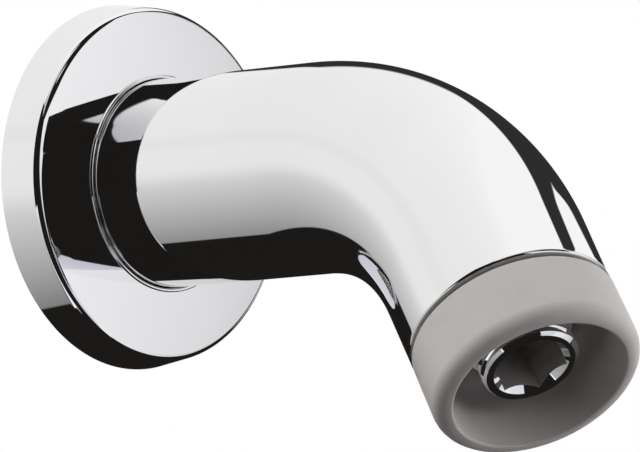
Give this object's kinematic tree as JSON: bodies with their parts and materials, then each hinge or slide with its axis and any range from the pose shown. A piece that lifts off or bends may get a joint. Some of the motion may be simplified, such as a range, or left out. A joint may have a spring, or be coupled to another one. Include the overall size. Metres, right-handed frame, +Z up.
{
  "type": "shower arm",
  "caption": "Short thick curved chrome shower arm with a round wall flange, a grey bell-shaped outlet shroud and a threaded outlet nipple with a hexagon key socket.",
  "frame": {"origin": "centre of the wall flange's back, on the wall and on the axis of the inlet thread", "axes": "+Z up, +Y into the wall along the inlet thread, so the arm leaves the wall along -Y and bends down"},
  "size_m": [0.079, 0.158, 0.1036],
  "materials": {
    "chrome": "polished chrome plate on brass",
    "brass": "plain turned brass",
    "grey_plastic": "matte moulded plastic",
    "fibre": "pressed fibre",
    "rubber": "smooth black rubber"
  },
  "bodies": {
    "root": {"arm_body": "chrome", "wall_flange": "chrome", "outlet_nipple": "chrome", "inlet_nipple": "brass", "outlet_shroud": "grey_plastic", "inlet_gasket": "fibre", "flange_seal_ring": "rubber", "outlet_seal_ring": "rubber"}
  },
  "joints": []
}
